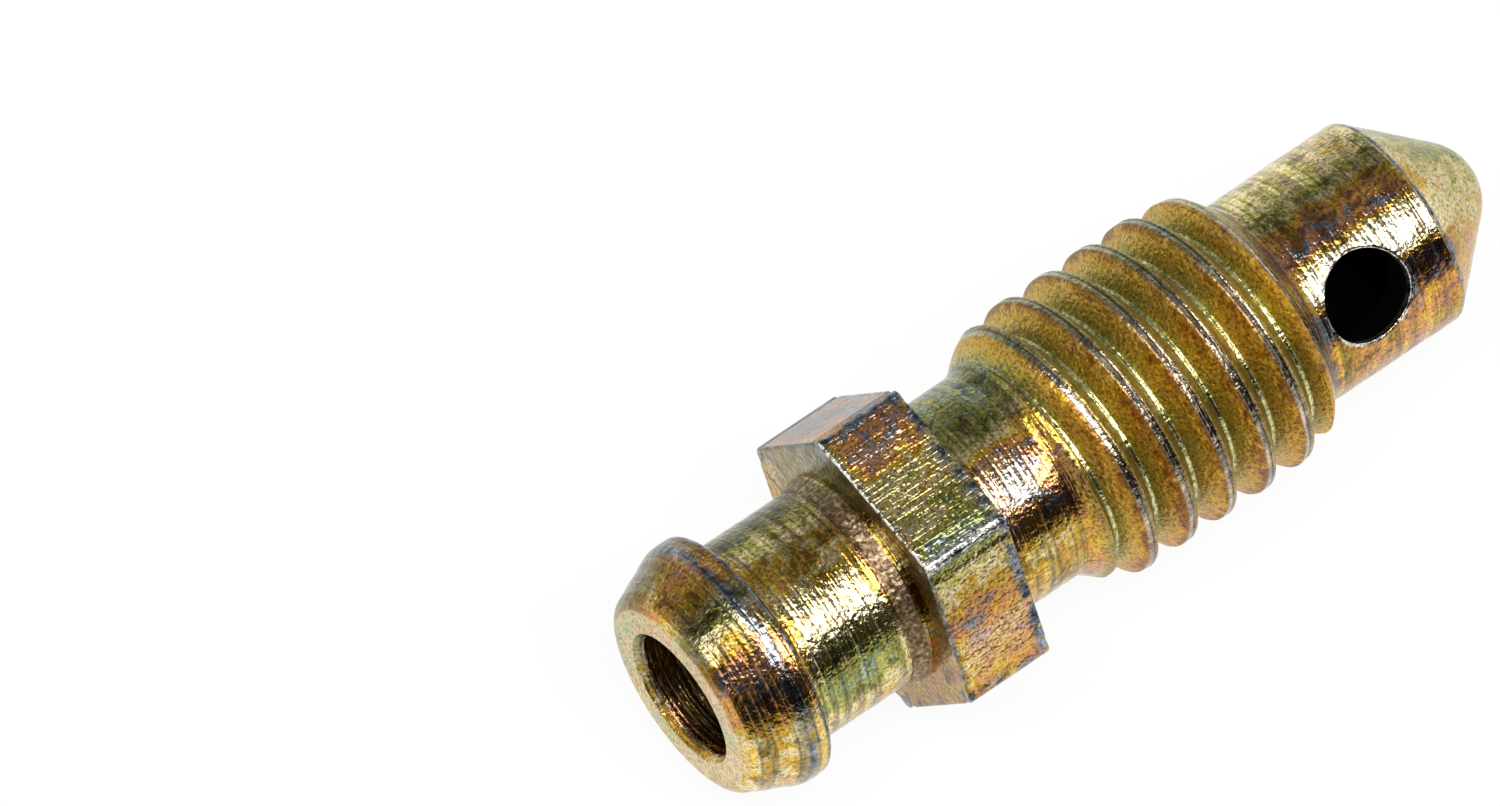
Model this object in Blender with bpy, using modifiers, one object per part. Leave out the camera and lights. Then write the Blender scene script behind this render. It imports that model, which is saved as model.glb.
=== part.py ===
"""A bleeder screw: one piece of steel, turned from hexagon bar, threaded, drilled and cross-drilled.

Metres, +Z up. The screw lies on one flat of its hexagon. Its axis runs along +X, from the hose end
to the sealing cone, and the origin is on the ground under the middle of its length.
"""

import math

import bmesh
import bpy
from mathutils import Matrix, Vector

# Hexagon
HEX_ACROSS_FLATS = 0.00769
HEX_LENGTH = 0.00252
HEX_CORNER_ROUNDING = 0.00018
HEX_EDGE_CHAMFER = 0.00006

# Hose nipple, from its end face to the front of the hexagon
NIPPLE_FACE_DIAMETER = 0.00560
NIPPLE_FACE_ROUNDING = 0.00044
BARB_DIAMETER = 0.00700
BARB_CONE_LENGTH = 0.00155
BARB_CONE_ROUNDING = 0.00090
BARB_LAND_LENGTH = 0.00057
BARB_EDGE_ROUNDING = 0.00012
BARB_BACK_LENGTH = 0.00021
BARB_BACK_FILLET = 0.00012
STEM_DIAMETER = 0.00571
STEM_LENGTH = 0.00350
COLLAR_RISE = 0.00015
COLLAR_FLARE_LENGTH = 0.00042
COLLAR_FLARE_FILLET = 0.00024
COLLAR_ROUNDING = 0.00012

# Neck and thread
NECK_LENGTH = 0.00235
NECK_RELIEF = 0.00011
NECK_FILLET = 0.00060
THREAD_DIAMETER = 0.00762
THREAD_PITCH = 0.00125
THREAD_FLANK_ANGLE = 60.0
THREAD_CREST_FLAT = 0.00025
THREAD_ROOT_FLAT = 0.00016
THREAD_START_ANGLE = 37.5
THREAD_LEAD_IN_ANGLE = 38.0
THREAD_LEAD_IN_ROUNDING = 0.00180
THREAD_LENGTH = 0.00500
THREAD_LAST_TURN_LENGTH = 0.00125
THREAD_LAST_TURN_DROP = 0.00017
THREAD_LAST_TURN_ROUNDING = 0.00040
THREAD_LEAD_OUT_ANGLE = 50.0

# Nose, sealing cone and tip
NOSE_RELIEF = 0.00015
NOSE_FILLET = 0.00030
NOSE_LENGTH = 0.00413
SHOULDER_ROUNDING = 0.00020
SEAT_HALF_ANGLE = 42.0
TIP_RADIUS = 0.00157

# Bore from the hose end, and the hole drilled across into it
BORE_DIAMETER = 0.00353
BORE_MOUTH_CHAMFER = 0.00015
BORE_MOUTH_DEPTH = 0.00024
BORE_PAST_CROSS_HOLE = 0.00050
DRILL_POINT_ANGLE = 118.0
CROSS_HOLE_DIAMETER = 0.00244
CROSS_HOLE_TO_SHOULDER = 0.00256
CROSS_HOLE_ANGLE = 45.3

# Facets, and the angle from which an edge between two of them shows as sharp
TURN_STEPS = 72
ARC_STEP_ANGLE = 30.0
BORE_STEPS = 36
HEX_CORNER_STEPS = 3
SHARP_ANGLE = 25.0

# Places along the screw, measured from the end face of the hose nipple
BARB_EDGE = BARB_CONE_LENGTH + BARB_LAND_LENGTH
BARB_BACK = BARB_EDGE + BARB_BACK_LENGTH
HEX_FRONT = BARB_BACK + STEM_LENGTH
HEX_BACK = HEX_FRONT + HEX_LENGTH
THREAD_ROOT_DIAMETER = THREAD_DIAMETER - (THREAD_PITCH - THREAD_CREST_FLAT - THREAD_ROOT_FLAT) / math.tan(
    math.radians(THREAD_FLANK_ANGLE / 2)
)
NECK_RADIUS = THREAD_ROOT_DIAMETER / 2 - NECK_RELIEF
NOSE_RADIUS = THREAD_ROOT_DIAMETER / 2 - NOSE_RELIEF
THREAD_RADIUS = THREAD_DIAMETER / 2
THREAD_FOOT = HEX_BACK + NECK_LENGTH
THREAD_FULL = THREAD_FOOT + (THREAD_RADIUS - NECK_RADIUS) / math.tan(math.radians(THREAD_LEAD_IN_ANGLE))
THREAD_FADE = THREAD_FULL + THREAD_LENGTH
LAST_TURN = THREAD_FADE + THREAD_LAST_TURN_LENGTH
LAST_TURN_RADIUS = THREAD_RADIUS - THREAD_LAST_TURN_DROP
THREAD_END = LAST_TURN + (LAST_TURN_RADIUS - NOSE_RADIUS) / math.tan(math.radians(THREAD_LEAD_OUT_ANGLE))
SHOULDER = THREAD_END + NOSE_LENGTH
CONE_TIP = SHOULDER + NOSE_RADIUS / math.tan(math.radians(SEAT_HALF_ANGLE))
TIP_CENTRE = CONE_TIP - TIP_RADIUS / math.sin(math.radians(SEAT_HALF_ANGLE))
LENGTH = TIP_CENTRE + TIP_RADIUS
CROSS_HOLE = SHOULDER - CROSS_HOLE_TO_SHOULDER

# One flat of the hexagon lies on the ground.
AXIS_HEIGHT = HEX_ACROSS_FLATS / 2
AXIS_ORIGIN = Vector((-LENGTH / 2, 0, AXIS_HEIGHT))


def clear_scene():
    for obj in list(bpy.data.objects):
        bpy.data.objects.remove(obj)


def collection(name):
    made = bpy.data.collections.new(name)
    bpy.context.scene.collection.children.link(made)
    return made


def plated_steel():
    """Zinc plated steel with a yellow chromate, iridescent gold to olive."""
    material = bpy.data.materials.new("zinc_plated_steel")
    material.use_nodes = True
    shader = material.node_tree.nodes["Principled BSDF"]
    shader.inputs["Base Color"].default_value = (0.50, 0.38, 0.16, 1)
    shader.inputs["Metallic"].default_value = 1.0
    shader.inputs["Roughness"].default_value = 0.32
    return material


def mesh_object(name, bm, into):
    """An object whose mesh starts at the middle of the nipple's end face, with the screw's axis along X."""
    mesh = bpy.data.meshes.new(name)
    bm.to_mesh(mesh)
    bm.free()
    obj = bpy.data.objects.new(name, mesh)
    obj.location = AXIS_ORIGIN
    into.objects.link(obj)
    return obj


def as_cutter(obj):
    obj.hide_render = True
    obj.display_type = "WIRE"
    return obj


def rounded(corners):
    """The outline through corners (x, r, rounding radius), each rounded by an arc as far as its sides allow."""
    points = []
    for i, (x, r, radius) in enumerate(corners):
        corner = Vector((x, r))
        if radius == 0 or i in (0, len(corners) - 1):
            points.append(corner)
            continue
        before = Vector(corners[i - 1][:2]) - corner
        after = Vector(corners[i + 1][:2]) - corner
        turn = math.pi - before.angle(after)
        reach = min(radius * math.tan(turn / 2), 0.45 * before.length, 0.45 * after.length)
        limited = reach / math.tan(turn / 2)
        middle = corner + (before.normalized() + after.normalized()).normalized() * (limited / math.cos(turn / 2))
        start = corner + before.normalized() * reach - middle
        steps = max(1, math.ceil(math.degrees(turn) / ARC_STEP_ANGLE))
        side = 1 if before.cross(after) > 0 else -1
        for step in range(steps + 1):
            angle = side * turn * step / steps
            cos, sin = math.cos(angle), math.sin(angle)
            points.append(middle + Vector((start.x * cos + start.y * sin, start.y * cos - start.x * sin)))
    return points


def turned(name, outline, steps, into):
    """A solid turned about the X axis from an outline of (x, r) points that starts and ends on the axis."""
    bm = bmesh.new()
    last = None
    # From the far end back, which turns the faces outwards
    for x, r in reversed(outline):
        vertex = bm.verts.new((x, 0, r))
        if last is not None:
            bm.edges.new((last, vertex))
        last = vertex
    obj = mesh_object(name, bm, into)
    screw = obj.modifiers.new("turned", "SCREW")
    screw.axis = "X"
    screw.steps = steps
    screw.render_steps = steps
    screw.use_merge_vertices = True
    screw.merge_threshold = 1e-6
    screw.use_smooth_shade = False
    return obj


def blank_outline():
    """The turned outside of the screw, which runs on through the hexagon."""
    face_radius = NIPPLE_FACE_DIAMETER / 2
    stem_radius = STEM_DIAMETER / 2
    collar_radius = stem_radius + COLLAR_RISE
    collar_rim = HEX_FRONT - COLLAR_ROUNDING
    inside_hexagon = HEX_LENGTH / 3
    cone_turn = math.radians(90 - SEAT_HALF_ANGLE)
    tip_steps = max(2, math.ceil(math.degrees(cone_turn) / ARC_STEP_ANGLE) * 2)
    corners = [
        (0, 0, 0),
        (0, face_radius, NIPPLE_FACE_ROUNDING),
        (BARB_CONE_LENGTH, BARB_DIAMETER / 2, BARB_CONE_ROUNDING),
        (BARB_EDGE, BARB_DIAMETER / 2, BARB_EDGE_ROUNDING),
        (BARB_BACK, stem_radius, BARB_BACK_FILLET),
        (collar_rim - COLLAR_FLARE_LENGTH, stem_radius, COLLAR_FLARE_FILLET),
        (collar_rim, collar_radius, COLLAR_ROUNDING),
        (HEX_FRONT, stem_radius, 0),
        (HEX_FRONT + inside_hexagon, stem_radius, 0),
        (HEX_BACK - inside_hexagon, NECK_RADIUS, 0),
        (THREAD_FOOT, NECK_RADIUS, NECK_FILLET),
        (THREAD_FULL, THREAD_RADIUS, THREAD_LEAD_IN_ROUNDING),
        (THREAD_FADE, THREAD_RADIUS, 0),
        (LAST_TURN, LAST_TURN_RADIUS, THREAD_LAST_TURN_ROUNDING),
        (THREAD_END, NOSE_RADIUS, NOSE_FILLET),
        (SHOULDER, NOSE_RADIUS, SHOULDER_ROUNDING),
        (TIP_CENTRE + TIP_RADIUS * math.cos(cone_turn), TIP_RADIUS * math.sin(cone_turn), 0),
    ]
    tip = [
        Vector((TIP_CENTRE + TIP_RADIUS * math.cos(angle), TIP_RADIUS * math.sin(angle)))
        for angle in (cone_turn * (1 - step / tip_steps) for step in range(1, tip_steps))
    ]
    return rounded(corners) + tip + [Vector((LENGTH, 0))]


def hexagon(into):
    """The wrench hexagon, one flat facing down, with rolled corners and broken edges."""
    bm = bmesh.new()
    bmesh.ops.create_cone(
        bm,
        cap_ends=True,
        segments=6,
        radius1=HEX_ACROSS_FLATS / 2 / math.cos(math.pi / 6),
        radius2=HEX_ACROSS_FLATS / 2 / math.cos(math.pi / 6),
        depth=HEX_LENGTH,
        matrix=Matrix.Translation(((HEX_FRONT + HEX_BACK) / 2, 0, 0)) @ Matrix.Rotation(math.pi / 2, 4, "Y"),
    )
    upright = [edge for edge in bm.edges if abs((edge.verts[0].co - edge.verts[1].co).x) > HEX_LENGTH / 2]
    # A bevel's offset is measured along the flats, which meet at 120 degrees.
    bmesh.ops.bevel(
        bm,
        geom=upright,
        offset=HEX_CORNER_ROUNDING * math.tan(math.radians(30)),
        offset_type="OFFSET",
        segments=HEX_CORNER_STEPS,
        profile=0.5,
        affect="EDGES",
    )
    ends = [edge for edge in bm.edges if abs((edge.verts[0].co - edge.verts[1].co).x) < HEX_LENGTH / 2]
    bmesh.ops.bevel(
        bm,
        geom=ends,
        offset=HEX_EDGE_CHAMFER,
        offset_type="OFFSET",
        segments=1,
        profile=0.5,
        affect="EDGES",
    )
    return as_cutter(mesh_object("hexagon", bm, into))


def thread_groove(into):
    """The helical groove of a right-hand thread, wider than the crests above the blank, closed at both ends."""
    slope = math.tan(math.radians(THREAD_FLANK_ANGLE / 2))
    above = THREAD_CREST_FLAT / 2
    root_radius = THREAD_ROOT_DIAMETER / 2
    opening = THREAD_PITCH - THREAD_CREST_FLAT + 2 * above * slope
    turns = math.ceil((THREAD_END - THREAD_FOOT) / THREAD_PITCH + 1)
    start = THREAD_FOOT - THREAD_PITCH / 2
    bm = bmesh.new()
    section = [
        (start - opening / 2, THREAD_RADIUS + above),
        (start - THREAD_ROOT_FLAT / 2, root_radius),
        (start + THREAD_ROOT_FLAT / 2, root_radius),
        (start + opening / 2, THREAD_RADIUS + above),
    ]
    face = bm.faces.new([bm.verts.new((x, 0, r)) for x, r in section])
    bmesh.ops.rotate(
        bm,
        verts=face.verts,
        matrix=Matrix.Rotation(math.radians(THREAD_START_ANGLE), 3, "X"),
    )
    bmesh.ops.spin(
        bm,
        geom=[face, *face.verts, *face.edges],
        axis=(1, 0, 0),
        cent=(0, 0, 0),
        dvec=(THREAD_PITCH / TURN_STEPS, 0, 0),
        angle=2 * math.pi * turns,
        steps=TURN_STEPS * turns,
    )
    bmesh.ops.recalc_face_normals(bm, faces=bm.faces)
    return as_cutter(mesh_object("thread_groove", bm, into))


def bore(into):
    """The blind bore, with a chamfered mouth and the cone that the drill's point leaves."""
    radius = BORE_DIAMETER / 2
    depth = CROSS_HOLE + CROSS_HOLE_DIAMETER / 2 + BORE_PAST_CROSS_HOLE
    point = radius / math.tan(math.radians(DRILL_POINT_ANGLE / 2))
    outline = [
        (-BORE_MOUTH_DEPTH, 0),
        (-BORE_MOUTH_DEPTH, radius + 2 * BORE_MOUTH_CHAMFER),
        (BORE_MOUTH_DEPTH, radius),
        (depth, radius),
        (depth + point, 0),
    ]
    return as_cutter(turned("bore", outline, BORE_STEPS, into))


def cross_hole(into):
    """The hole drilled from one side into the bore, seen from +X at an angle from straight up towards -Y."""
    reach = THREAD_RADIUS
    bm = bmesh.new()
    bmesh.ops.create_cone(
        bm,
        cap_ends=True,
        segments=BORE_STEPS,
        radius1=CROSS_HOLE_DIAMETER / 2,
        radius2=CROSS_HOLE_DIAMETER / 2,
        depth=reach,
        matrix=Matrix.Rotation(math.radians(CROSS_HOLE_ANGLE), 4, "X")
        @ Matrix.Translation((CROSS_HOLE, 0, reach / 2)),
    )
    return as_cutter(mesh_object("cross_hole", bm, into))


def combine(obj, operation, others):
    boolean = obj.modifiers.new(others.name, "BOOLEAN")
    boolean.operation = operation
    boolean.solver = "EXACT"
    boolean.operand_type = "COLLECTION"
    boolean.collection = others


def shade(obj):
    """Applies the modifiers, and shades the round faces smooth between the real edges."""
    evaluated = obj.evaluated_get(bpy.context.evaluated_depsgraph_get())
    obj.data = bpy.data.meshes.new_from_object(evaluated)
    obj.modifiers.clear()
    obj.data.shade_smooth()
    obj.data.set_sharp_from_angle(angle=math.radians(SHARP_ANGLE))


def bleeder_screw():
    screw = turned("bleeder_screw", blank_outline(), TURN_STEPS, collection("bleeder_screw_parts"))
    screw.data.materials.append(plated_steel())
    added = collection("added")
    hexagon(added)
    combine(screw, "UNION", added)
    cutters = collection("cutters")
    thread_groove(cutters)
    bore(cutters)
    cross_hole(cutters)
    combine(screw, "DIFFERENCE", cutters)
    shade(screw)


clear_scene()
bleeder_screw()
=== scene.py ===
"""The looks of a bleeder screw: turned, rolled and drilled steel with a yellow zinc plating.

The frame is in metres. The sizes of the screw's surface are in millimetres along its axis, from the
end face of the hose nipple, as the solid has them. Angles go round the axis, from straight up
toward the front.
"""

import math
from functools import cache

import bpy
import numpy as np
from mathutils import Matrix, Vector


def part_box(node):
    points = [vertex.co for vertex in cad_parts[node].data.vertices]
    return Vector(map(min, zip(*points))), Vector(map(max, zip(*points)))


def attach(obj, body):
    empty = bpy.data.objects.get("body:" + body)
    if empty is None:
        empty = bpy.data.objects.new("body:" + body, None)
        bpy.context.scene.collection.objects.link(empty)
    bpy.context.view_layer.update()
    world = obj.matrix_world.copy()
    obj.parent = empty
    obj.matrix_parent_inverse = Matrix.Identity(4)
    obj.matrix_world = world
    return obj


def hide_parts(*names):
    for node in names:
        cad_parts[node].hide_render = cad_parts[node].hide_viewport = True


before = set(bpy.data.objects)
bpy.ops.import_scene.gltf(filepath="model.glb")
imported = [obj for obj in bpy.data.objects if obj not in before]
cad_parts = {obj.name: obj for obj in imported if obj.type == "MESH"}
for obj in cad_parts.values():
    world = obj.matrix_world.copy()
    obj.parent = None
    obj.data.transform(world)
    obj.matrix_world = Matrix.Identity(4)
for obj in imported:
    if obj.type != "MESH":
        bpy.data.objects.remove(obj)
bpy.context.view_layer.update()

NODE = "bleeder_screw"
LOW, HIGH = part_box(NODE)
MM = 0.001
LENGTH = (HIGH.x - LOW.x) / MM
HEX_ACROSS_FLATS = (HIGH.z - LOW.z) / MM
AXIS_HEIGHT = HEX_ACROSS_FLATS / 2
ROW_START = LOW.x / MM

# Camera, in metres: a long lens, so that the view is nearly parallel
CAMERA_AIM = Vector((-0.00606, 0.00555, 0.00378))
CAMERA_DIRECTION = Vector((-0.3181, -0.3323, 0.8879))
CAMERA_UP = Vector((0.5254, 0.7177, 0.4569))
CAMERA_DISTANCE = 0.8367
CAMERA_LENS = 800.0
CAMERA_SENSOR = 36.0

# Light and stage, in metres and degrees
SOFTBOX_DISTANCE = 0.6
SOFTBOX_SIZE = (0.86, 0.23)
SOFTBOX_WATTS = 5.6
SOFTBOX_LEAN = 16.5
SOFTBOX_ALONG = -0.12
SOFTBOX_TURN = 40.0
TENT_RADIUS = 1.5
TENT_END_SHADE = 0.85
TENT_FOLD_DEPTH = 0.7
TENT_FOLDS = 4.0
# The tent's strips: angle, and brightness there
TENT_SHADES = [
    (-180, 0.85), (-105, 0.80), (-95, 0.20), (-88, 0.85), (-80, 0.15), (-73, 0.90), (-66, 0.15),
    (-60, 0.70), (-54, 0.05), (-46, 0.40), (-40, 0.05), (-34, 0.40), (-29, 0.05), (-23, 0.80),
    (-17, 0.10), (-10, 0.80), (-4, 0.10), (40, 0.25), (50, 0.04), (90, 0.04), (97, 0.85),
]
# Where the tent's ends start and where they are reached, as shares of its radius
TENT_ENDS = (0.55, 0.85)
FLOOR_REACH = 3.0
FLOOR_SHADE = 0.8
FLOOR_GLOW_SHARE = 0.93

# Plating: the film's colours by its thickness, which go round and round
FILM_COLOURS = [
    (0.00, (0.84, 0.71, 0.42)),
    (0.14, (0.70, 0.46, 0.05)),
    (0.28, (0.70, 0.34, 0.10)),
    (0.39, (0.50, 0.25, 0.15)),
    (0.46, (0.29, 0.29, 0.30)),
    (0.54, (0.25, 0.28, 0.32)),
    (0.60, (0.38, 0.47, 0.29)),
    (0.76, (0.36, 0.36, 0.09)),
    (0.90, (0.62, 0.55, 0.17)),
    (1.00, (0.84, 0.71, 0.42)),
]
# Middle along the screw, reach along it, and around it: angle, thickness, tone. By angle they paint
# light and shade: tone darkens or pales, thickness turns slate in dark bands
FILM_ZONES = [
    (1.0, 1.0, [
        (-180, 1.20, 0.80), (-65, 0.97, 0.35), (-45, 1.16, 0.35), (-32, 1.26, 0.90),
        (-20, 1.24, 1.00), (-11, 1.12, 0.75), (-4, 0.78, 0.45), (5, 0.98, 0.35), (14, 1.10, 0.36),
        (20, 1.30, 0.42), (26, 1.37, 0.60), (34, 1.37, 0.95), (44, 1.36, 0.90), (50, 1.28, 0.75),
        (56, 1.12, 0.80), (66, 1.08, 1.00), (95, 1.12, 1.00),
    ]),
    (4.0, 1.2, [
        (-180, 1.10, 0.80), (-60, 0.86, 0.28), (-40, 0.78, 0.30), (-26, 0.87, 1.00),
        (-15, 1.10, 0.80), (0, 1.16, 0.85), (10, 1.08, 0.80), (18, 1.00, 1.08), (34, 0.98, 1.12),
        (42, 0.94, 1.00), (53, 0.80, 0.95), (68, 0.67, 1.00), (76, 0.88, 1.00), (88, 1.03, 1.00),
        (105, 1.25, 1.00),
    ]),
    (5.4, 0.3, [
        (-180, 1.20, 0.60), (-60, 0.68, 0.60), (-35, 0.70, 0.80), (-12, 1.34, 0.40),
        (30, 1.37, 0.28), (45, 1.36, 0.40), (60, 1.30, 0.60), (80, 1.20, 0.70), (100, 1.30, 0.80),
    ]),
    (5.85, 0.1, [
        (-180, 1.10, 0.70), (-60, 1.24, 0.55), (-35, 0.90, 0.55), (0, 0.88, 0.45), (20, 1.06, 0.42),
        (45, 1.14, 0.55), (70, 1.18, 0.80), (110, 1.26, 0.80),
    ]),
    (7.2, 0.9, [
        (-180, 1.20, 0.80), (-60, 1.46, 0.50), (-28, 1.38, 0.80), (-22, 1.36, 0.95),
        (-16, 1.31, 1.05), (-11, 1.26, 1.00), (-6, 1.02, 0.78), (7, 0.97, 0.78), (13, 0.86, 0.60),
        (18, 0.93, 0.70), (23, 0.66, 0.75), (30, 0.60, 0.90), (36, 0.96, 0.95), (42, 1.00, 0.90),
        (47, 1.03, 0.70), (53, 1.28, 0.80), (60, 1.38, 0.95), (68, 1.31, 1.10), (75, 1.27, 1.08),
        (100, 1.22, 0.90),
    ]),
    (9.6, 0.9, [
        (-180, 1.20, 0.80), (-60, 0.66, 0.50), (-35, 0.66, 0.60), (-20, 0.74, 0.80),
        (-5, 0.86, 0.90), (8, 1.36, 1.12), (20, 1.40, 1.30), (34, 1.40, 1.20), (44, 1.40, 0.80),
        (52, 1.18, 0.80), (60, 1.12, 1.00), (80, 1.14, 0.90), (105, 1.26, 0.90),
    ]),
    (14.0, 3.0, [
        (-180, 1.20, 0.80), (-60, 0.76, 0.70), (-30, 0.72, 0.60), (0, 1.10, 0.50), (20, 1.25, 0.50),
        (60, 1.20, 0.50), (80, 1.28, 0.80), (110, 1.30, 0.90),
    ]),
    (18.5, 0.12, [
        (-180, 1.45, 0.60), (-40, 1.48, 0.60), (20, 1.46, 0.50), (60, 1.46, 0.60),
        (110, 1.40, 0.70),
    ]),
    (20.5, 1.8, [
        (-180, 1.20, 0.80), (-60, 0.97, 1.00), (-36, 0.97, 1.00), (-25, 0.96, 1.00),
        (-16, 0.88, 0.75), (-6, 1.33, 0.75), (3, 1.38, 0.70), (10, 1.38, 0.90), (15, 1.08, 1.08),
        (20, 1.02, 1.25), (34, 1.02, 1.20), (38, 1.10, 1.00), (41, 1.50, 0.50), (54, 1.50, 0.50),
        (60, 1.28, 0.98), (80, 1.25, 0.98), (110, 1.22, 0.90),
    ]),
    (24.5, 1.2, [
        (-180, 0.90, 0.80), (-60, 0.78, 0.60), (-20, 0.80, 0.70), (10, 0.92, 0.75),
        (40, 1.00, 0.75), (70, 1.18, 0.85), (110, 0.95, 0.85),
    ]),
]
LEAST_WEIGHT = 1e-9
# A tone over 1 also pales the colour: a painted highlight
PAINTED_HIGHLIGHT_TONES = (1.0, 1.3)
PAINTED_HIGHLIGHT_SHARE = 0.8

# Noises: scale in cycles a millimetre, or its three scales along, across and up, detail, distortion
RINGS = ((7.0, 0.16, 0.16), 3.0)
STREAKS = ((1.1, 9.0, 9.0), 3.0)
GRAIN = (6.5, 3.0)
# Spreads: a noise, its low and high value, and what the two become
PATCHES = ((1.3, 3.0, 0.8), 0.3, 0.7, -1.0, 1.0)
BLOTS = ((3.6, 3.0, 0.4), 0.3, 0.7, -1.0, 1.0)
SPECKS = ((10.0, 2.0), 0.25, 0.75, -1.0, 1.0)
RING_DRIFT = (RINGS, 0.3, 0.7, -0.07, 0.07)
STREAK_DRIFT = (STREAKS, 0.3, 0.7, -0.08, 0.08)
# Painted reflections of the turned ridges: darker and lighter stripes round the turned parts
PAINTED_RIDGE_SHADES = (((3.2, 0.2, 0.2), 2.0), 0.40, 0.60, 0.70, 1.22)
# Random darker patches on the turned parts
DARK_PATCH_SHADES = ((1.7, 4.0, 1.0), 0.36, 0.46, 0.45, 1.0)
# Painted shade in the turned rings' grooves, where the rings' noise is low
RING_GROOVE_SHADES = (RINGS, 0.46, 0.37, 0.0, 0.5)
EDGE_PATINA = ((2.5, 4.0), 0.40, 0.52, 0.25, 1.0)
EDGE_MOTTLE = ((4.0, 3.0), 0.35, 0.65, 0.0, 1.0)
# Spots of painted glint
GLINT_SPOTS = ((4.0, 3.0), 0.42, 0.48, 0.0, 1.0)
SPECK_MOTTLE = ((12.0, 2.0), 0.35, 0.65, 0.0, 1.0)
ROUGHNESS = ((5.0, 3.0), 0.3, 0.7, 0.11, 0.20)
# How far patches, blots and specks move the film's thickness, and the colour of the near flank
PATCH_DRIFT = 0.14
BLOT_DRIFT = 0.09
SPECK_DRIFT = 0.04
FLANK_DRIFT = 0.16

# Coats over the film's colour: the share that a coat covers of its mask, its mottling, its colours
COATS = {
    "far_flank": (0.9, ((3.0, 4.0), 0.3, 0.7), [
        (0.0, (0.26, 0.19, 0.05)), (0.5, (0.40, 0.32, 0.09)), (1.0, (0.37, 0.38, 0.18)),
    ]),
    # The root: its own pale yellow-green, partly a painted highlight along the root's round
    "root": (0.9, ((7.0, 2.0), 0.4, 0.6), [
        (0.0, (0.42, 0.46, 0.22)), (1.0, (0.85, 0.84, 0.48)),
    ]),
    "crest": (0.7, ((2.4, 4.0, 0.5), 0.35, 0.65), [
        (0.0, (0.13, 0.15, 0.17)), (0.35, (0.30, 0.31, 0.28)), (0.6, (0.50, 0.46, 0.36)),
        (1.0, (0.80, 0.70, 0.54)),
    ]),
    "end_face": (0.8, ((1.8, 4.0), 0.40, 0.60), [
        (0.0, (0.48, 0.52, 0.30)), (0.35, (0.70, 0.58, 0.22)), (0.7, (0.72, 0.42, 0.22)),
        (1.0, (0.74, 0.60, 0.32)),
    ]),
    # The collar's flare: its grainy finish, darkened partly as painted shade in the fillet
    "flare": (0.8, ((8.0, 2.0), 0.36, 0.64), [
        (0.0, (0.05, 0.04, 0.03)), (0.4, (0.17, 0.12, 0.07)), (0.7, (0.26, 0.18, 0.11)),
        (1.0, (0.42, 0.34, 0.22)),
    ]),
}
# The near flank by height above the root
NEAR_FLANK_SHARE = 0.75
NEAR_FLANK_COLOURS = [
    (0.0, (0.40, 0.38, 0.10)), (0.35, (0.64, 0.45, 0.08)), (0.70, (0.66, 0.36, 0.04)),
    (0.95, (0.26, 0.10, 0.01)),
]
EDGE_COLOURS = [
    (0.0, (0.04, 0.05, 0.07)), (0.5, (0.17, 0.20, 0.24)), (1.0, (0.34, 0.38, 0.42)),
]
SPECK_SHADES = [
    (0.0, (0.50, 0.48, 0.46)), (0.4, (0.94, 0.94, 0.94)), (1.0, (1.20, 1.20, 1.16)),
]
# The bore by depth: its own reddish-brown and olive near the mouth, then painted shade that goes to
# black deeper in
BORE_SHADE_DEPTHS = (0.3, 2.5)
BORE_COLOURS_AND_SHADE = [
    (0.0, (0.46, 0.25, 0.17)), (0.35, (0.24, 0.22, 0.12)), (1.0, (0.01, 0.01, 0.008)),
]
# Painted shade in the crest's seam: how much of it it covers, and its colour
SEAM_SHADE_SHARE = 0.85
SEAM_SHADE_COLOUR = (0.10, 0.07, 0.06, 1)
# Painted glints on the corner, the front edge and the hole's rim
PAINTED_GLINT_COLOUR = (0.95, 0.92, 0.84, 1)
PAINTED_HIGHLIGHT_COLOUR = (0.95, 0.86, 0.72, 1)
# Painted shade in the grooves of the turned rings
GROOVE_SHADE_COLOUR = (0.05, 0.04, 0.03, 1)
# Painted shade, nearly black, in the cross hole and deep in the bore
HOLE_SHADE_COLOUR = (0.006, 0.006, 0.006, 1)

# Gloss, and heights of the material's relief in millimetres
COARSE_ROUGHNESS = 0.40
HOLE_ROUGHNESS = 0.7
RING_HEIGHT = 0.036
DRAWN_HEIGHT = 0.055
GRAIN_HEIGHT = 0.036
COARSE_GRAIN_SHARE = 0.6
TURNED_GRAIN_SHARE = 0.8

# The surface's relief: height, period along the screw, cells around it, seed
FINE_RINGS = (0.0040, 0.14, 1, 1)
BROKEN_RINGS = (0.0030, 0.20, 5, 9)
CHATTER = (0.0075, 0.34, 2, 2)
NECK_CHATTER = 0.006
DENTS = (0.0035, 0.60, 23, 3)
ROLLED_SKIN = (0.008, 0.30, 40, 4)
ROLLED_WAVES = (0.010, 0.9, 17, 5)
DRAWN_LINES = (0.004, 1.0, 500, 7)
FLAT_WAVES = (0.004, 0.8, 60, 8)
SEAM_DEPTHS = (0.030, 1000.0, 23, 11)
SEAM_DEPTH = 0.030
WOBBLE_ROWS = 256

# Hexagon
HEX_FRONT = 5.83
HEX_BACK = 8.35
HEX_CORNER_ROUNDING = 0.30
HEX_FRONT_ROUNDING = 0.07
HEX_BACK_ROUNDING = 0.06

# Hose nipple
FACE_RADIUS = 2.80
FACE_ROUNDING = 0.44
BARB_RADIUS = 3.50
BARB_CONE = 1.55
BARB_CONE_ROUNDING = 0.90
BARB_EDGE = 2.12
BARB_EDGE_ROUNDING = 0.12
BARB_BACK = 2.33
BARB_BACK_FILLET = 0.10
STEM_RADIUS = 2.855
COLLAR_RISE = 0.15
COLLAR_FLARE_LENGTH = 0.42
COLLAR_FLARE_FILLET = 0.24
COLLAR_ROUNDING = 0.12
COLLAR_FOOT = 0.15

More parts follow.
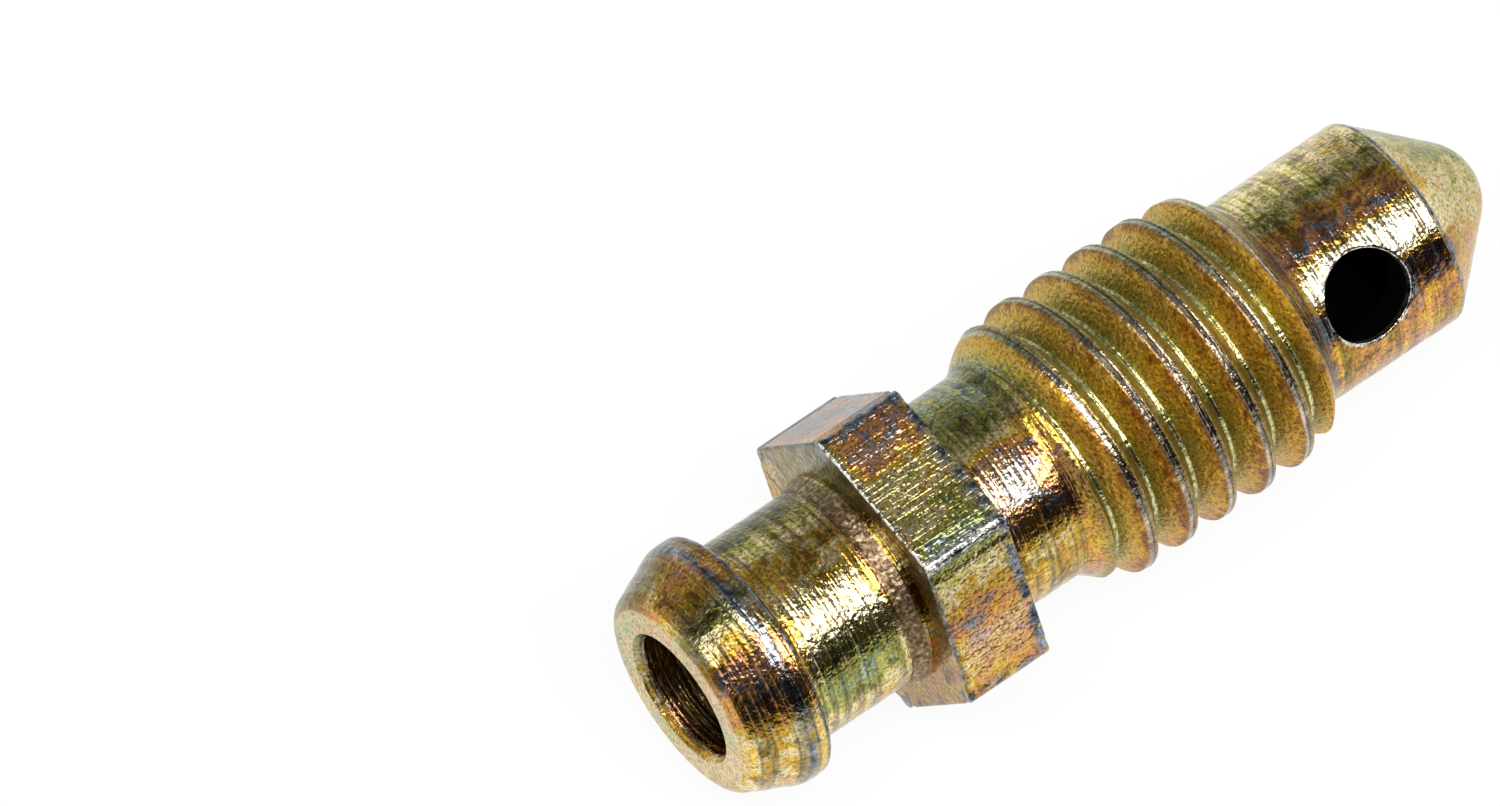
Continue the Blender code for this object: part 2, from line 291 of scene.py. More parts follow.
# Neck and thread
NECK_RADIUS = 2.9725
THREAD_FOOT = 10.70
NECK_FILLET = 0.60
THREAD_RADIUS = 3.81
ROOT_RADIUS = 3.0825
PITCH = 1.25
SEAM_OFFSET = 0.035
SEAM_WIDTH = 0.035
ROOT_FLAT = 0.10
ROOT_BLEND = 0.04
CREST_BLEND = 0.10
ROLLED_RISE = 0.3
FLANK_SLOPE = math.tan(math.radians(60))
THREAD_START_ANGLE = 37.5
THREAD_FULL = 11.7719
THREAD_FULL_ROUNDING = 1.80
THREAD_FADE = 16.7719
LAST_TURN = 18.0219
LAST_TURN_RADIUS = 3.64
LAST_TURN_ROUNDING = 0.40
THREAD_END = 18.6155

# Nose, cone and tip
NOSE_RADIUS = 2.9325
NOSE_FILLET = 0.30
SHOULDER = 22.7455
BLANK_END = SHOULDER - 1
SHOULDER_ROUNDING = 0.20
SEAT_HALF_ANGLE = 42.0
TIP_RADIUS = 1.57

# Bore and cross hole
BORE_RADIUS = 1.765
BORE_DEPTH = 21.9
BORE_POINT = 22.96
MOUTH_DEPTH = 0.24
MOUTH_RISE = 0.15
MOUTH_FILLET = 0.10
MOUTH_ROUNDING = 0.04
CROSS_HOLE = 20.1855
CROSS_HOLE_RADIUS = 1.22
CROSS_HOLE_ANGLE = 45.3
CROSS_HOLE_EDGE = 0.07
# The flare at its mouth: how much wider than the hole, and how high over the nose, in edges
CROSS_HOLE_FLARE = [(0, -4), (0, -1), (0.13, -0.5), (0.5, -0.13), (1, 0), (3, 1.2)]
NEAR_BORE = 2.0
BORE_RING_PITCH = 0.16
BORE_RING_HEIGHT = 0.012
BORE_RING_LEAN = 0.5
BORE_RING_FADE = 0.1

# Masks of the bore and the cross hole: depths below a wall or the outside, and places along
WALL_FADE = (0.02, 0.12)
WALL_SLACK = 0.06
BORE_COVER_FADE = (0.2, 0.5)
MOUTH_FADE = 0.1
DEEP_BORE = 2.5
DEEP_BORE_SLACK = 0.03
# Where the bore's wall starts to be painted black as shade
BORE_SHADE_START = 10.0
HOLE_SLACK = 0.02
# Masks of the thread, in pitches off the crest's middle
FLANK_FADE = (0.06, 0.11)
ROOT_GAP_FADE = (0.01, 0.05)
ROOT_LINE_FADE = (0.44, 0.475)
CREST_FADE = (0.055, 0.10)
CREST_SHIFT = 0.01
SEAM_FADE = (0.010, 0.035)
# How far the blank rises to where the thread is whole, where its crest ends, and at which angles
# the crest's grey fades in, from the least share of it
THREAD_RISE = 0.35
UNTHREADED = 0.1
CREST_ENDS = (18.1, 18.3)
CREST_FACING = (-30, 5)
CREST_LEAST = 0.3
# Masks of the hexagon, in millimetres, and in degrees off a corner
HEXAGON_REACH = 0.4
BACK_EDGE_FADE = (0.36, 0.28)
CORNER_FADE = (0.9, 1.8)
# The one hexagon corner with a painted glint, how far round it reaches, and where it stops before
# the back
GLINT_CORNER = 30
GLINT_CORNER_REACH = 5
GLINT_CORNER_END = 0.2
FRONT_EDGE_WIDTH = 0.05
ON_FLAT = 0.06
FLAT_MARGIN = 0.04
FLAT_HALF_ANGLE = 30
UNDRAWN_SHARE = 0.25
# Masks of other edges: place along and width, then how sharply the surface must turn
BARB_CONE_EDGE = (BARB_CONE + 0.02, 0.18)
BARB_LAND_EDGE = (BARB_EDGE, 0.10)
BARB_SKIN = 0.4
SHOULDER_EDGE = (SHOULDER, 0.06)
CONVEX_SHARE = 0.8
CONVEX_FADE = (0.5, 2.0)
CONVEX_ROUNDS = 2
LEAST_STEP_SQUARED = 1e-4
# Masks of the collar's flare, the cone and the end face, along the screw
STEM_END = 5.2
FLARE_START = (5.05, 5.25)
FLARE_END = 0.16
CONE_START = 0.05
END_FACE_DEPTH = 0.012
PLAIN_END = 0.1
TOLERANCE = 0.01
BORE_TOLERANCE = 0.001

# Mesh
ROW_SPACING = 0.08
DEEP_SPACING = 1.2
FLAT_COLUMNS = 24
CORNER_STEP = 0.45
CORNER_COLUMNS = 3
ARC_STEP = 9.0
BLANK_ARC_STEP = 3.0
NECK_RING = 9.45
HELIX_START = 9.60
HELIX_END = 18.65
NOSE_RING = 20.05
FAN_ROWS = 14
TIP_STEPS = 9
SHARP_ANGLE = 40.0
HEX_FACE_ROWS = 9
HEX_EDGE_STEPS = 5
HEX_SIDE_ROWS = 18
NECK_ROWS = 15
CUTTER_STEPS = 72
ROUNDING_REACH = 0.45
# Places of the rows across half a pitch, in pitches: close at the crest and the root
ROW_PLACES = [0.022, 0.045, 0.07, 0.095, 0.125, 0.17, 0.24, 0.31, 0.38, 0.43, 0.455, 0.478]
# Turns of the thread that the rows may need, counted from its first whole crest
ROW_TURNS = range(-3, 9)


def rounded(corners, arc_step):
    """The outline through corners (x, r, rounding radius), rounded as far as the sides allow."""
    points = []
    for i, (x, r, radius) in enumerate(corners):
        corner = Vector((x, r))
        if radius == 0 or i in (0, len(corners) - 1):
            points.append(corner)
            continue
        before = Vector(corners[i - 1][:2]) - corner
        after = Vector(corners[i + 1][:2]) - corner
        turn = math.pi - before.angle(after)
        longest = ROUNDING_REACH * min(before.length, after.length)
        reach = min(radius * math.tan(turn / 2), longest)
        to_middle = reach / math.tan(turn / 2) / math.cos(turn / 2)
        middle = corner + (before.normalized() + after.normalized()).normalized() * to_middle
        start = corner + before.normalized() * reach - middle
        steps = max(1, math.ceil(math.degrees(turn) / arc_step))
        side = 1 if before.cross(after) > 0 else -1
        for step in range(steps + 1):
            angle = side * turn * step / steps
            cos, sin = math.cos(angle), math.sin(angle)
            spoke = Vector((start.x * cos + start.y * sin, start.y * cos - start.x * sin))
            points.append(middle + spoke)
    return points


def spaced(points, spacing):
    """The same outline with long stretches split to the spacing."""
    made = [points[0]]
    for a, b in zip(points, points[1:]):
        count = max(1, math.ceil((b - a).length / spacing))
        made += [a.lerp(b, k / count) for k in range(1, count + 1)]
    return made


def column_angles():
    """Angles of the mesh's columns, close together at the hexagon's corners.

    The first lies on the underside, where the helical rows start and end.
    """
    reach = CORNER_COLUMNS * CORNER_STEP
    near = range(-CORNER_COLUMNS, CORNER_COLUMNS + 1)
    flat = 60 - 2 * reach
    angles = []
    # The hexagon's corners, from the first one past the underside's middle at 180 degrees
    for corner in range(210, 570, 60):
        angles += [corner + CORNER_STEP * k for k in near]
        angles += [corner + reach + flat * k / FLAT_COLUMNS for k in range(1, FLAT_COLUMNS)]
    return np.radians(sorted(angle if angle < 540 else angle - 360 for angle in angles))


ANGLES = column_angles()
TURN_SHARE = (ANGLES - math.pi) / (2 * math.pi)


def wobble(x, angle, x_period, around, seed):
    """Smooth noise of -1 to 1, with that period along the screw and that many cells around it."""
    cells = np.random.default_rng(seed).uniform(-1, 1, (WOBBLE_ROWS, around))
    u = x / x_period + 1000.0
    v = angle / (2 * math.pi) * around
    i, j = np.floor(u).astype(int), np.floor(v).astype(int)
    s, t = u - i, v - j
    s, t = s * s * (3 - 2 * s), t * t * (3 - 2 * t)
    i, next_i = i % WOBBLE_ROWS, (i + 1) % WOBBLE_ROWS
    j, next_j = j % around, (j + 1) % around
    here = cells[i, j] * (1 - s) + cells[next_i, j] * s
    beside = cells[i, next_j] * (1 - s) + cells[next_i, next_j] * s
    return here * (1 - t) + beside * t


def relief(x, angle, height, x_period, around, seed):
    """That noise as a height over the surface."""
    return height * wobble(x, angle, x_period, around, seed)


def smooth_step(low, high, value):
    """From 0 at the low value to 1 at the high one, with soft ends."""
    t = np.clip((value - low) / (high - low), 0, 1)
    return t * t * (3 - 2 * t)


def bell(value, middle, width):
    """1 in the middle, and falling off to both sides over the width."""
    return np.exp(-(((value - middle) / width) ** 2))


def soft_min(a, b, reach):
    """The smaller of the two, rounded where they meet."""
    h = np.clip(0.5 + 0.5 * (b - a) / reach, 0, 1)
    return b * (1 - h) + a * h - reach * h * (1 - h)


def soft_max(a, b, reach):
    return -soft_min(-a, -b, reach)


def hexagon_radius(angle):
    """Distance from the axis to the hexagon's side, whose corners are rounded."""
    off_flat = (angle + math.pi / 6) % (math.pi / 3) - math.pi / 6
    flat = HEX_ACROSS_FLATS / 2 / np.cos(off_flat)
    off_corner = math.pi / 6 - np.abs(off_flat)
    centre = (HEX_ACROSS_FLATS / 2 - HEX_CORNER_ROUNDING) / math.cos(math.pi / 6)
    inside = np.maximum(HEX_CORNER_ROUNDING**2 - (centre * np.sin(off_corner)) ** 2, 0)
    arc = centre * np.cos(off_corner) + np.sqrt(inside)
    return np.where(inside > 0, np.minimum(flat, arc), flat)


GROOVE_START = THREAD_FOOT - PITCH / 2 - PITCH * THREAD_START_ANGLE / 360


def thread_phase(x, angle):
    """Distance along the axis from the nearest crest's middle, in pitches, -0.5 to 0.5."""
    turns = (x - GROOVE_START) / PITCH - angle / (2 * math.pi)
    return turns - np.floor(turns) - 0.5


def blank_outline():
    """The blank that the thread is rolled into, from the hexagon to the nose."""
    corners = [
        (HEX_BACK, NECK_RADIUS, 0),
        (THREAD_FOOT, NECK_RADIUS, NECK_FILLET),
        (THREAD_FULL, THREAD_RADIUS, THREAD_FULL_ROUNDING),
        (THREAD_FADE, THREAD_RADIUS, 0),
        (LAST_TURN, LAST_TURN_RADIUS, LAST_TURN_ROUNDING),
        (THREAD_END, NOSE_RADIUS, NOSE_FILLET),
        (BLANK_END, NOSE_RADIUS, 0),
    ]
    return np.array([tuple(p) for p in rounded(corners, BLANK_ARC_STEP)])


BLANK = blank_outline()


def body_outline():
    """The outside by place along the screw, without the thread."""
    nipple = [(0, FACE_RADIUS), (BARB_CONE, BARB_RADIUS), (BARB_BACK, STEM_RADIUS)]
    nose = [(NOSE_RING, NOSE_RADIUS), (SHOULDER, NOSE_RADIUS), (LENGTH, 0)]
    return np.array(nipple + [(HEX_BACK, NECK_RADIUS)] + nose)


BODY = body_outline()


def threaded_radius(x, angle):
    """The radius from the hexagon to the nose: the turned blank, less the thread's groove."""
    blank = np.interp(x, BLANK[:, 0], BLANK[:, 1])
    phase = thread_phase(x, angle)
    off_root = PITCH / 2 - np.abs(phase) * PITCH
    groove = ROOT_RADIUS + np.maximum(off_root - ROOT_FLAT / 2, 0) * FLANK_SLOPE
    groove = soft_max(groove, np.full_like(groove, ROOT_RADIUS), ROOT_BLEND)
    radius = soft_min(blank, groove, CREST_BLEND)
    full = np.clip((blank - ROOT_RADIUS) / (THREAD_RADIUS - ROOT_RADIUS), 0, 1) ** 2
    depth = SEAM_DEPTH + relief(x, angle + x / PITCH, *SEAM_DEPTHS)
    return radius - full * depth * bell(phase * PITCH, SEAM_OFFSET, SEAM_WIDTH)


def nipple_outline():
    """From the bore's drill point out of its mouth and along the nipple to the hexagon."""
    inside = [(BORE_POINT, 0, 0), (BORE_DEPTH, BORE_RADIUS, 0), (NEAR_BORE, BORE_RADIUS, 0)]
    outside = [
        (NEAR_BORE, BORE_RADIUS, 0),
        (MOUTH_DEPTH, BORE_RADIUS, MOUTH_FILLET),
        (0, BORE_RADIUS + MOUTH_RISE, MOUTH_ROUNDING),
        (0, FACE_RADIUS, FACE_ROUNDING),
        (BARB_CONE, BARB_RADIUS, BARB_CONE_ROUNDING),
        (BARB_EDGE, BARB_RADIUS, BARB_EDGE_ROUNDING),
        (BARB_BACK, STEM_RADIUS, BARB_BACK_FILLET),
        (HEX_FRONT - COLLAR_ROUNDING - COLLAR_FLARE_LENGTH, STEM_RADIUS, COLLAR_FLARE_FILLET),
        (HEX_FRONT - COLLAR_ROUNDING, STEM_RADIUS + COLLAR_RISE, COLLAR_ROUNDING),
        (HEX_FRONT, STEM_RADIUS + COLLAR_FOOT, 0),
    ]
    deep = spaced(rounded(inside, ARC_STEP), DEEP_SPACING)
    return deep[:-1] + spaced(rounded(outside, ARC_STEP), ROW_SPACING)


def nose_outline():
    """From the plain nose over the sealing cone to the tip."""
    cone_turn = math.radians(90 - SEAT_HALF_ANGLE)
    cone_tip = SHOULDER + NOSE_RADIUS / math.tan(math.radians(SEAT_HALF_ANGLE))
    tip_centre = cone_tip - TIP_RADIUS / math.sin(math.radians(SEAT_HALF_ANGLE))
    corners = [
        (NOSE_RING, NOSE_RADIUS, 0),
        (SHOULDER, NOSE_RADIUS, SHOULDER_ROUNDING),
        (tip_centre + TIP_RADIUS * math.cos(cone_turn), TIP_RADIUS * math.sin(cone_turn), 0),
    ]
    tip = [
        Vector((tip_centre + TIP_RADIUS * math.cos(angle), TIP_RADIUS * math.sin(angle)))
        for angle in (cone_turn * (1 - step / TIP_STEPS) for step in range(1, TIP_STEPS))
    ]
    return spaced(rounded(corners, ARC_STEP), ROW_SPACING) + tip


def turned_marks(x, angle):
    """What a turning tool leaves: rings at its feed, a slow chatter and shallow dents."""
    rings = relief(x, angle, *FINE_RINGS) + relief(x, angle, *BROKEN_RINGS)
    height, *chatter = CHATTER
    on_neck = (x > HEX_BACK) * (x < THREAD_FOOT)
    waves = (height + NECK_CHATTER * on_neck) * wobble(x, angle, *chatter)
    return rings + waves + relief(x, angle, *DENTS)


def bore_marks(x, angle):
    """The drill's fine rings inside the mouth."""
    rings = np.sin(2 * math.pi * x / BORE_RING_PITCH + BORE_RING_LEAN * np.sin(angle))
    return BORE_RING_HEIGHT * rings * np.clip((x - MOUTH_DEPTH) / BORE_RING_FADE, 0, 1)


def rolled_marks(x, angle):
    """The uneven skin of the rolled thread, with the turned blank's marks at its ends."""
    blank = np.interp(x, BLANK[:, 0], BLANK[:, 1])
    threaded = np.clip((blank - ROOT_RADIUS) / ROLLED_RISE, 0, 1)
    uneven = relief(x, angle, *ROLLED_SKIN) + relief(x, angle, *ROLLED_WAVES)
    return threaded * uneven + (1 - threaded) * turned_marks(x, angle)


class Surface:
    """Points in rows round the axis, and the faces between them."""

    def __init__(self):
        self.x = []
        self.r = []
        self.faces = []

    def add(self, x, r):
        self.x.append(np.broadcast_to(np.asarray(x, float), ANGLES.shape).copy())
        self.r.append(np.broadcast_to(np.asarray(r, float), ANGLES.shape).copy())

    def last(self):
        return len(self.x) - 1

    def index(self, row, column):
        return 1 + row * len(ANGLES) + column % len(ANGLES)

    def join(self, first, last, closed):
        """Quads between rows first to last; closed if the last column meets the first."""
        columns = len(ANGLES) if closed else len(ANGLES) - 1
        for i in range(first, last):
            for j in range(columns):
                a, b = self.index(i, j), self.index(i, j + 1)
                c, d = self.index(i + 1, j + 1), self.index(i + 1, j)
                self.faces.append((a, b, c, d))

    def zip(self, first, last):
        """Triangles between the last column and the first, whose rows lie one pitch apart."""
        end, start = len(ANGLES) - 1, 0
        p = q = first
        while p < last or q < last:
            left = self.x[p + 1][end] if p < last else math.inf
            right = self.x[q + 1][start] if q < last else math.inf
            a, b = self.index(p, end), self.index(q, start)
            if left <= right:
                p += 1
                self.faces.append((a, b, self.index(p, end)))
            else:
                q += 1
                self.faces.append((a, b, self.index(q, start)))

    def cap(self, row, pole, outward):
        """Triangles between a row and the point of that index on the axis."""
        for j in range(len(ANGLES)):
            a, b = self.index(row, j), self.index(row, j + 1)
            self.faces.append((a, b, pole) if outward else (b, a, pole))

    def points(self):
        """All points in metres: the bore's drill point, the rows, and the tip."""
        x, r = np.array(self.x), np.array(self.r)
        y, z = -r * np.sin(ANGLES), r * np.cos(ANGLES)
        ringed = np.stack([x, y, z], axis=-1).reshape(-1, 3)
        poles = [[[BORE_POINT, 0, 0]], ringed, [[LENGTH, 0, 0]]]
        return (np.concatenate(poles) + (ROW_START, 0, AXIS_HEIGHT)) * MM


def add_hexagon(surface):
    """The hexagon's front face, flats and back face. Their relief only cuts into the flats."""
    side = hexagon_radius(ANGLES)
    lines = relief(0 * ANGLES, ANGLES, *DRAWN_LINES)
    foot = STEM_RADIUS + COLLAR_FOOT
    edge = HEX_FRONT_ROUNDING
    for k in range(1, HEX_FACE_ROWS):
        surface.add(HEX_FRONT, foot + (side - edge - foot) * k / HEX_FACE_ROWS)
    for step in range(HEX_EDGE_STEPS + 1):
        beta = math.pi / 2 * step / HEX_EDGE_STEPS
        surface.add(HEX_FRONT + edge * (1 - math.cos(beta)), side - edge + edge * math.sin(beta))
    length = HEX_BACK - HEX_FRONT - HEX_FRONT_ROUNDING - HEX_BACK_ROUNDING
    for k in range(1, HEX_SIDE_ROWS):
        x = HEX_FRONT + HEX_FRONT_ROUNDING + length * k / HEX_SIDE_ROWS
        surface.add(x, side + np.minimum(relief(x, ANGLES, *FLAT_WAVES) + lines, 0))
    edge = HEX_BACK_ROUNDING
    for step in range(HEX_EDGE_STEPS + 1):
        beta = math.pi / 2 * (1 - step / HEX_EDGE_STEPS)
        surface.add(HEX_BACK - edge * (1 - math.cos(beta)), side - edge + edge * math.sin(beta))
    for k in range(1, HEX_FACE_ROWS):
        surface.add(HEX_BACK, side - edge + (NECK_RADIUS - side + edge) * k / HEX_FACE_ROWS)


def add_thread(surface):
    """Rows that follow the helix, and rows that fan out from it to plain rings at both ends."""
    places = sorted([0.0, 0.5] + ROW_PLACES + [-place for place in ROW_PLACES])
    bases = [GROOVE_START + (1 + turn + place) * PITCH for turn in ROW_TURNS for place in places]
    bases = [x for x in bases if HELIX_START < x < HELIX_END]
    shift = TURN_SHARE * PITCH
    before, after = bases[0] + shift, bases[-1] + shift
    for k in range(1, FAN_ROWS):
        x = NECK_RING + (before - NECK_RING) * k / FAN_ROWS
        surface.add(x, threaded_radius(x, ANGLES) + turned_marks(x, ANGLES))
    for base in bases:
        x = base + shift
        surface.add(x, threaded_radius(x, ANGLES) + rolled_marks(x, ANGLES))
    for k in range(1, FAN_ROWS + 1):
        x = after + (NOSE_RING - after) * k / FAN_ROWS
        surface.add(x, threaded_radius(x, ANGLES) + turned_marks(x, ANGLES))


def screw_surface():
    """The screw's skin from the bore's drill point out of its mouth and along to the tip."""
    surface = Surface()
    for x, r in nipple_outline()[1:]:
        if r < BORE_RADIUS + BORE_TOLERANCE:
            marks = bore_marks(x, ANGLES)
        elif x < TOLERANCE:
            marks = 0
        else:
            marks = turned_marks(x, ANGLES)
        surface.add(x, r + marks)
    add_hexagon(surface)
    for x in np.linspace(HEX_BACK, NECK_RING, NECK_ROWS):
        surface.add(x, NECK_RADIUS + turned_marks(x, ANGLES) * (x > HEX_BACK + TOLERANCE))
    first = surface.last()
    add_thread(surface)
    last = surface.last()
    for x, r in nose_outline()[1:]:
        surface.add(x, r + turned_marks(x, ANGLES) * min(1, r / NOSE_RADIUS))
    surface.join(0, first, True)
    surface.join(first, last, False)
    surface.zip(first, last)
    surface.join(last, surface.last(), True)
    surface.cap(0, 0, False)
    surface.cap(surface.last(), 1 + len(surface.x) * len(ANGLES), True)
    return surface


def mesh_object(name, points, faces):
    mesh = bpy.data.meshes.new(name)
    mesh.from_pydata([tuple(p) for p in points], [], faces)
    mesh.validate()
    obj = bpy.data.objects.new(name, mesh)
    bpy.context.scene.collection.objects.link(obj)
    return obj


def cross_hole_cutter():
    """The cross hole's drill, with a small flare that follows the nose's round at its mouth."""
    around = np.arange(CUTTER_STEPS) * 2 * math.pi / CUTTER_STEPS
    cos, sin = np.cos(around), np.sin(around)
    rings = [np.stack([CROSS_HOLE_RADIUS * cos, CROSS_HOLE_RADIUS * sin, 0 * around], -1)]
    for wider, above in CROSS_HOLE_FLARE:
        radius = CROSS_HOLE_RADIUS + wider * CROSS_HOLE_EDGE
        along, across = radius * cos, radius * sin
        height = np.sqrt(NOSE_RADIUS**2 - across**2) + above * CROSS_HOLE_EDGE
        rings.append(np.stack([along, across, height], -1))
    points = np.concatenate(rings + [[[0, 0, 0]], [[0, 0, NOSE_RADIUS + 1]]])
    faces = []
    for k in range(len(rings) - 1):
        for j in range(CUTTER_STEPS):
            n = (j + 1) % CUTTER_STEPS
            a, b = k * CUTTER_STEPS, (k + 1) * CUTTER_STEPS
            faces.append((a + j, a + n, b + n, b + j))
    top, low = len(points) - 1, len(points) - 2
    upper = (len(rings) - 1) * CUTTER_STEPS
    for j in range(CUTTER_STEPS):
        n = (j + 1) % CUTTER_STEPS
        faces.append((n, j, low))
        faces.append((upper + j, upper + n, top))
    turn = np.array(Matrix.Rotation(math.radians(CROSS_HOLE_ANGLE), 3, "X"))
    points = points @ turn.T + (ROW_START + CROSS_HOLE, 0, AXIS_HEIGHT)
    return mesh_object("cross_hole_cutter", points * MM, faces)


def cut(obj, cutter):
    """Take the cutter out of the object, and shade the result smooth between its sharp edges."""
    boolean = obj.modifiers.new("cross_hole", "BOOLEAN")
    boolean.operation = "DIFFERENCE"
    boolean.solver = "EXACT"
    boolean.object = cutter
    evaluated = obj.evaluated_get(bpy.context.evaluated_depsgraph_get())
    obj.data = bpy.data.meshes.new_from_object(evaluated)
    obj.modifiers.clear()
    bpy.data.objects.remove(cutter)
    obj.data.shade_smooth()
    obj.data.set_sharp_from_angle(angle=math.radians(SHARP_ANGLE))


def camera():
    """The photograph's view, from the front, the left and well above."""
    data = bpy.data.cameras.new("camera")
    data.lens = CAMERA_LENS
    data.sensor_width = CAMERA_SENSOR
    obj = bpy.data.objects.new("camera", data)
    bpy.context.scene.collection.objects.link(obj)
    back = CAMERA_DIRECTION.normalized()
    right = CAMERA_UP.cross(back).normalized()
    turn = Matrix((right, back.cross(right), back)).transposed()
    obj.matrix_world = Matrix.Translation(CAMERA_AIM + back * CAMERA_DISTANCE) @ turn.to_4x4()
    bpy.context.scene.camera = obj


def convexity(mesh, points):
    """Where the surface turns round an outer edge, from 0 on the flat to 1 on a crisp edge."""
    edges = np.empty(len(mesh.edges) * 2, np.int32)
    mesh.edges.foreach_get("vertices", edges)
    a, b = edges[0::2], edges[1::2]
    normals = np.array([n.vector for n in mesh.vertex_normals])
    step = points[a] - points[b]
    squared = np.maximum((step**2).sum(1), LEAST_STEP_SQUARED)
    count = np.bincount(edges, minlength=len(points))
    turn = np.bincount(a, (normals[a] * step).sum(1) / squared, len(points))
    turn -= np.bincount(b, (normals[b] * step).sum(1) / squared, len(points))
    turn /= np.maximum(count, 1)
    for _ in range(CONVEX_ROUNDS):
        around = np.bincount(a, turn[b], len(points)) + np.bincount(b, turn[a], len(points))
        turn = 0.5 * turn + 0.5 * around / np.maximum(count, 1)
    return smooth_step(*CONVEX_FADE, turn)


class Place:
    """Where the mesh's points lie on the screw.

    x is along it, r off its axis, depth below its outside, and off_side inside the hexagon's side,
    all in millimetres. The phase is across the thread, and threaded is 1 where the thread is whole.
    """

    def __init__(self, mesh):
        points = np.empty(len(mesh.vertices) * 3)
        mesh.vertices.foreach_get("co", points)
        self.points = points.reshape(-1, 3) / MM - (ROW_START, 0, AXIS_HEIGHT)
        self.x, y, z = self.points.T
        self.r, self.angle = np.hypot(y, z), np.arctan2(-y, z)
        self.degrees = np.degrees(self.angle)
        self.depth = np.interp(self.x, BODY[:, 0], BODY[:, 1]) - self.r
        self.phase = thread_phase(self.x, self.angle)
        blank = np.interp(self.x, BLANK[:, 0], BLANK[:, 1], left=0, right=0)
        self.threaded = smooth_step(ROOT_RADIUS, ROOT_RADIUS + THREAD_RISE, blank)
        self.off_side = hexagon_radius(self.angle) - self.r


def film_masks(place):
    """How thick the chromate film is, which sets its colour, and its tone, which is painted light
    and shade by the angle round the axis: a soft mosaic.
    """
    film, tone, total = np.zeros((3, len(place.x)))
    for middle, reach, around in FILM_ZONES:
        weight = bell(place.x, middle, reach) + LEAST_WEIGHT
        angles, films, tones = zip(*around)
        film += weight * np.interp(place.degrees, angles, films, period=360)
        tone += weight * np.interp(place.degrees, angles, tones, period=360)
        total += weight
    return {"film": film / total, "tone": tone / total}


def hole_masks(place):
    """The bore's wall, and what is painted black as shade inside it and in the cross hole."""
    x, r, depth = place.x, place.r, place.depth
    bore = smooth_step(*WALL_FADE, BORE_RADIUS + WALL_SLACK - r)
    bore *= smooth_step(*BORE_COVER_FADE, depth)
    bore *= smooth_step(MOUTH_DEPTH - MOUTH_FADE, MOUTH_DEPTH + MOUTH_FADE, x)
    covered = depth > BORE_COVER_FADE[1]
    bore = np.maximum(bore, (r < BORE_RADIUS + DEEP_BORE_SLACK) * (x > DEEP_BORE) * covered)
    near_hole = np.abs(x - CROSS_HOLE) < CROSS_HOLE_RADIUS + HOLE_SLACK
    hole = smooth_step(*WALL_FADE, depth) * near_hole
    return {"inside": bore, "hole": np.maximum(hole, bore * (x > BORE_SHADE_START))}


def thread_masks(place):
    """The thread's two flanks and how high they rise, its root line, its crest and its seam."""
    phase, threaded = place.phase, place.threaded
    off_crest = np.abs(phase)
    flank = smooth_step(*FLANK_FADE, off_crest) * smooth_step(*ROOT_GAP_FADE, 0.5 - off_crest)
    facing = CREST_LEAST + (1 - CREST_LEAST) * smooth_step(*CREST_FACING, place.degrees)
    crest = 1 - smooth_step(*CREST_FADE, np.abs(phase + CREST_SHIFT))
    crest *= (1 - smooth_step(*CREST_ENDS, place.x)) * facing
    seam = 1 - smooth_step(*SEAM_FADE, np.abs(phase - SEAM_OFFSET / PITCH))
    rise = (place.r - ROOT_RADIUS) / (THREAD_RADIUS - ROOT_RADIUS)
    return {
        "near_flank": threaded * flank * (phase < 0),
        "far_flank": threaded * flank * (phase > 0),
        "flank_rise": np.clip(rise, 0, 1),
        "root": threaded * smooth_step(*ROOT_LINE_FADE, off_crest),
        "crest": threaded * crest,
        "seam": threaded * seam,
    }


def edge_masks(place, mesh):
    """Edges that are grey with patina, and painted glints on the hexagon corner and upper front
    edge that face the softbox, and on the cross hole's rim.
    """
    x, degrees, off_side = place.x, place.degrees, place.off_side
    on_hexagon = (x > HEX_FRONT - TOLERANCE) * (x < HEX_BACK + TOLERANCE)
    on_hexagon = on_hexagon * (np.abs(off_side) < HEXAGON_REACH)
    back_low, back_high = BACK_EDGE_FADE
    edge = on_hexagon * smooth_step(HEX_BACK - back_low, HEX_BACK - back_high, x)
    corners = on_hexagon * (1 - smooth_step(*CORNER_FADE, np.abs(degrees % 60 - 30)))
    barb = bell(x, *BARB_CONE_EDGE) + bell(x, *BARB_LAND_EDGE)
    plain = (place.threaded < UNTHREADED) * ((x < STEM_END) | (x > HEX_FRONT - TOLERANCE))
    edge = edge + corners + bell(x, *SHOULDER_EDGE) + barb * (place.depth < BARB_SKIN)
    edge = edge + CONVEX_SHARE * convexity(mesh, place.points) * plain

    # Painted glints: the corner and the upper flat's front edge that face the softbox, and the
    # cross hole's rim
    corner = corners * (np.abs(degrees - GLINT_CORNER) < GLINT_CORNER_REACH)
    corner *= x < HEX_BACK - GLINT_CORNER_END
    front = on_hexagon * (x < HEX_FRONT + FRONT_EDGE_WIDTH) * (off_side < ON_FLAT)
    front = front * (np.abs(degrees) < FLAT_HALF_ANGLE)
    from_hole = place.angle - math.radians(CROSS_HOLE_ANGLE)
    off_hole = np.hypot(x - CROSS_HOLE, place.r * np.sin(from_hole))
    rim = (off_hole < CROSS_HOLE_RADIUS + CROSS_HOLE_EDGE) * (place.depth < CROSS_HOLE_EDGE)
    rim = rim * (np.cos(from_hole) > 0) * (x > THREAD_END)
    return {"edge": np.clip(edge, 0, 1), "bright": np.maximum(np.maximum(corner, front), rim)}


